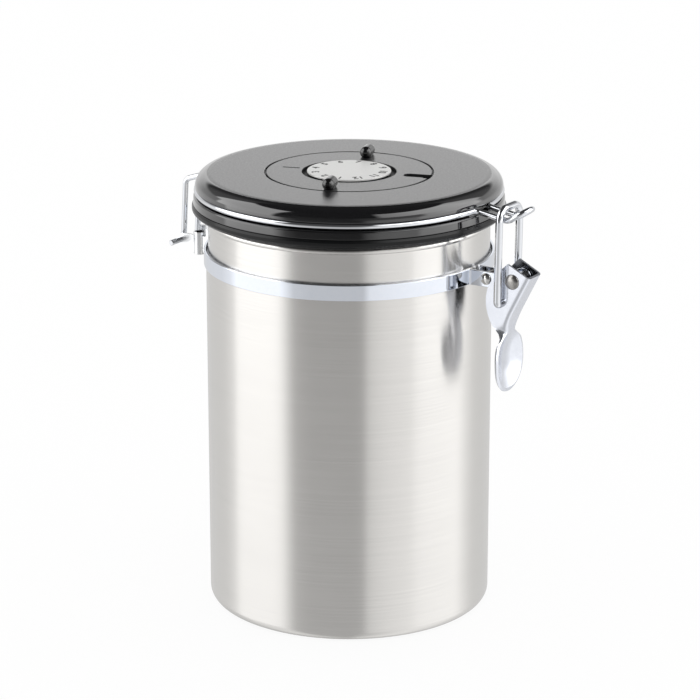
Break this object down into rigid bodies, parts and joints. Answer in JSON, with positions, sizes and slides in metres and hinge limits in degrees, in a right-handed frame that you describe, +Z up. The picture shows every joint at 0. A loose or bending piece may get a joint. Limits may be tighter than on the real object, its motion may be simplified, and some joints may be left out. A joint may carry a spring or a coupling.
{
  "type": "food canister",
  "caption": "Round steel food canister with a sealed plastic lid on a wire bail, an over-centre lever latch, a one-way vent and a turning month dial.",
  "frame": {"origin": "centre of the canister's flat base, on the surface that it stands on", "axes": "+Z up the canister's axis; +X towards the latch; -X towards the hinge; Y along the hinge and lever pins"},
  "size_m": [0.1691, 0.128, 0.1862],
  "materials": {
    "body_steel": "fine satin stainless steel with vertical reflections",
    "band_chrome": "bright plated steel sheet",
    "rivet_steel": "grey zinc-plated steel",
    "wire_chrome": "bright plated spring wire",
    "latch_chrome": "bright plated pressed steel",
    "lid_gloss": "polished black ABS",
    "gasket_silicone": "smooth dark silicone",
    "plug_plastic": "fine-textured black plastic",
    "screw_steel": "plain steel screws",
    "dial_silver": "satin silver disc with dark plain numbers",
    "filter_felt": "pressed felt",
    "flap_silicone": "translucent silicone"
  },
  "bodies": {
    "canister": {"canister_shell": "body_steel", "clamp_band": "band_chrome", "hinge_bracket": "band_chrome", "ear_rivet": "rivet_steel", "lever_rivet": "rivet_steel", "spacer_sleeves": "rivet_steel"},
    "lid": {"bail_wire": "wire_chrome", "lid_cap": "lid_gloss", "lid_base": "lid_gloss", "lid_gasket": "gasket_silicone", "lid_plug": "plug_plastic", "lid_screws": "screw_steel", "dial_hub": "lid_gloss", "dial_face": "dial_silver", "dial_screw": "screw_steel", "vent_grille": "plug_plastic", "vent_filter": "filter_felt"},
    "valve": {"vent_flap": "flap_silicone"},
    "month_disc": {"date_disc": "lid_gloss", "disc_pegs": "lid_gloss"},
    "lever": {"latch_lever": "latch_chrome"},
    "link": {"latch_link": "wire_chrome"}
  },
  "joints": [
    {"name": "lid_hinge", "type": "hinge", "parent": "canister", "child": "lid", "pos_m": [-0.0795, 0, 0.1434], "axis": [0, -1, 0], "range_deg": [0, 225]},
    {"name": "lever_pivot", "type": "hinge", "parent": "canister", "child": "lever", "pos_m": [0.0793, 0, 0.1483], "axis": [0, -1, 0], "range_deg": [0, 125]},
    {"name": "link_pivot", "type": "hinge", "parent": "lever", "child": "link", "pos_m": [0.0743, 0, 0.1386], "axis": [0, -1, 0], "range_deg": [-97, 0]},
    {"name": "disc_turn", "type": "hinge", "parent": "lid", "child": "month_disc", "pos_m": [0, 0, 0.1818], "axis": [0, 0, 1], "continuous": true},
    {"name": "vent_lift", "type": "slide", "parent": "lid", "child": "valve", "axis": [0, 0, 1], "range_m": [0, 0.0008], "stiffness_N_per_m": 200, "springref_m": -0.0003}
  ],
  "couplings": [
    {"joint": "link_pivot", "follows": "lever_pivot", "ratio": -0.77}
  ]
}
